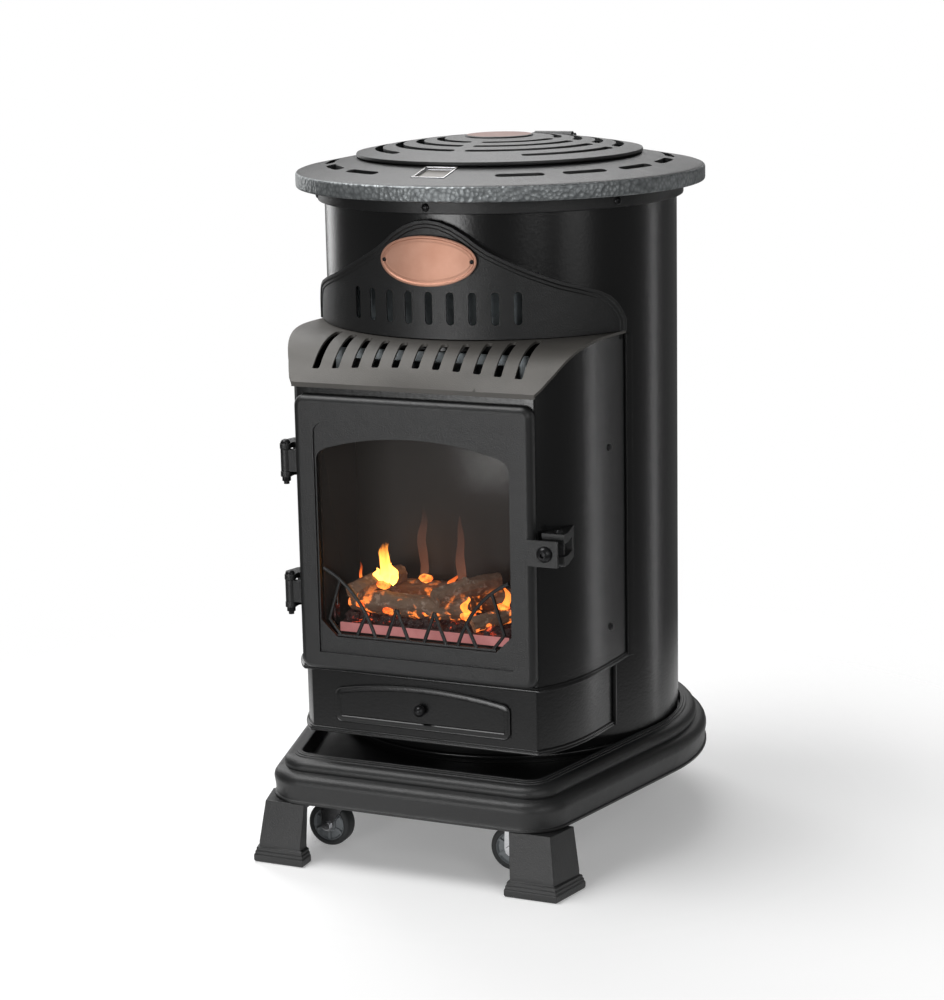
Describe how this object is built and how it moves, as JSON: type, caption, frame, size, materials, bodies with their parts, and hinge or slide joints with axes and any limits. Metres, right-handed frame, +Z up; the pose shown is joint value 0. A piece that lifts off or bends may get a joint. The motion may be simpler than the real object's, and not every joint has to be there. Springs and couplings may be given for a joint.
{
  "type": "portable gas cabinet heater",
  "caption": "Stove-style portable gas heater: round cabinet with cast top and base, glazed front door over a log fire, louvred hood, rear bottle door, feet and castors.",
  "frame": {"origin": "middle of the bounding box, on the floor plane under the feet and wheels", "axes": "+Z up, -Y out of the glazed front door, +X to the viewer's right when facing the door"},
  "size_m": [0.4572, 0.537, 0.77],
  "materials": {
    "cast_black": "textured black casting, satin",
    "enamel": "black enamel, satin",
    "hood_brown": "heat-worn brown-black paint, matt",
    "copper": "copper-coloured bare metal, satin",
    "black_steel": "blackened steel, gloss",
    "bright": "bright plated",
    "galvanised": "zinc-coated sheet",
    "liner": "heat-darkened steel, matt",
    "glass": "clear heat-proof glass",
    "log": "moulded ceramic, charred brown",
    "ember": "glowing embers",
    "brass": "machined brass",
    "rubber": "grey rubber tread",
    "plastic": "black plastic",
    "red_plastic": "red plastic"
  },
  "bodies": {
    "cabinet": {"base_casting": "cast_black", "foot_front_left": "cast_black", "foot_front_right": "cast_black", "foot_rear_left": "cast_black", "foot_rear_right": "cast_black", "collar_ring": "cast_black", "top_plate": "cast_black", "upper_front_casting": "cast_black", "door_hinge_bracket_upper": "cast_black", "door_hinge_bracket_lower": "cast_black", "latch_bracket": "cast_black", "drum_floor": "enamel", "drum_shell": "enamel", "firebox_casing": "enamel", "plinth_casing": "enamel", "louvred_hood": "hood_brown", "badge_plate": "copper", "rear_hinge_lower": "black_steel", "rear_hinge_upper": "black_steel", "lid_hinge_pin": "black_steel", "drawer_knob": "black_steel", "door_hinge_bolt_upper": "black_steel", "door_hinge_bolt_lower": "black_steel", "latch_pin": "black_steel", "finger_plate": "bright", "pilot_burner": "bright", "heat_deflector": "galvanised", "control_pan": "galvanised", "convection_baffle": "galvanised", "hood_deflector": "galvanised", "heat_shield": "galvanised", "firebox_liner": "liner", "burner_tray": "liner", "log_main": "log", "log_back": "log", "log_left_cross": "log", "log_top_cross": "log", "ember_bed": "ember", "gas_valve": "brass", "gas_inlet_nozzle": "brass", "supply_pipe": "brass", "igniter_body": "plastic"},
    "front_door": {"door_casting": "cast_black", "door_glass": "glass", "glass_retainer": "liner", "log_guard": "cast_black"},
    "latch_screw": {"latch_screw": "black_steel"},
    "rear_door": {"rear_door": "enamel", "rear_door_pull": "plastic"},
    "lid": {"lid": "cast_black"},
    "control_knob": {"control_knob": "plastic"},
    "igniter_button": {"igniter_button": "red_plastic"},
    "castor_front_left_swivel": {"castor_fork_front_left": "bright"},
    "castor_front_left_wheel": {"castor_wheel_front_left": "rubber"},
    "castor_front_right_swivel": {"castor_fork_front_right": "bright"},
    "castor_front_right_wheel": {"castor_wheel_front_right": "rubber"},
    "castor_rear_left_swivel": {"castor_fork_rear_left": "bright"},
    "castor_rear_left_wheel": {"castor_wheel_rear_left": "rubber"},
    "castor_rear_right_swivel": {"castor_fork_rear_right": "bright"},
    "castor_rear_right_wheel": {"castor_wheel_rear_right": "rubber"}
  },
  "joints": [
    {"name": "front_door_hinge", "type": "hinge", "parent": "cabinet", "child": "front_door", "pos_m": [-0.1495, -0.213, 0.3685], "axis": [0, 0, -1], "range_deg": [0, 110]},
    {"name": "latch_screw_turn", "type": "hinge", "parent": "front_door", "child": "latch_screw", "pos_m": [0.151, -0.2215, 0.362], "axis": [0, 1, 0], "continuous": true},
    {"name": "rear_door_hinge", "type": "hinge", "parent": "cabinet", "child": "rear_door", "pos_m": [-0.19164, 0.10177, 0.4], "axis": [0, 0, 1], "range_deg": [0, 110]},
    {"name": "lid_hinge", "type": "hinge", "parent": "cabinet", "child": "lid", "pos_m": [0, 0.2065, 0.754], "axis": [-1, 0, 0], "range_deg": [0, 80]},
    {"name": "control_knob_turn", "type": "hinge", "parent": "cabinet", "child": "control_knob", "pos_m": [-0.03, -0.0785, 0.73], "axis": [0, 0, 1], "range_deg": [0, 240]},
    {"name": "igniter_button_press", "type": "slide", "parent": "cabinet", "child": "igniter_button", "axis": [0, 0, -1], "range_m": [0, 0.004], "stiffness_N_per_m": 300},
    {"name": "castor_front_left_swivel", "type": "hinge", "parent": "cabinet", "child": "castor_front_left_swivel", "pos_m": [-0.11, -0.1865, 0.069], "axis": [0, 0, 1], "continuous": true},
    {"name": "castor_front_left_roll", "type": "hinge", "parent": "castor_front_left_swivel", "child": "castor_front_left_wheel", "pos_m": [-0.122, -0.1865, 0.025], "axis": [0, 1, 0], "continuous": true},
    {"name": "castor_front_right_swivel", "type": "hinge", "parent": "cabinet", "child": "castor_front_right_swivel", "pos_m": [0.11, -0.1865, 0.069], "axis": [0, 0, 1], "continuous": true},
    {"name": "castor_front_right_roll", "type": "hinge", "parent": "castor_front_right_swivel", "child": "castor_front_right_wheel", "pos_m": [0.098, -0.1865, 0.025], "axis": [0, 1, 0], "continuous": true},
    {"name": "castor_rear_left_swivel", "type": "hinge", "parent": "cabinet", "child": "castor_rear_left_swivel", "pos_m": [-0.056, 0.2055, 0.069], "axis": [0, 0, 1], "continuous": true},
    {"name": "castor_rear_left_roll", "type": "hinge", "parent": "castor_rear_left_swivel", "child": "castor_rear_left_wheel", "pos_m": [-0.068, 0.2055, 0.025], "axis": [0, 1, 0], "continuous": true},
    {"name": "castor_rear_right_swivel", "type": "hinge", "parent": "cabinet", "child": "castor_rear_right_swivel", "pos_m": [0.056, 0.2055, 0.069], "axis": [0, 0, 1], "continuous": true},
    {"name": "castor_rear_right_roll", "type": "hinge", "parent": "castor_rear_right_swivel", "child": "castor_rear_right_wheel", "pos_m": [0.044, 0.2055, 0.025], "axis": [0, 1, 0], "continuous": true}
  ]
}
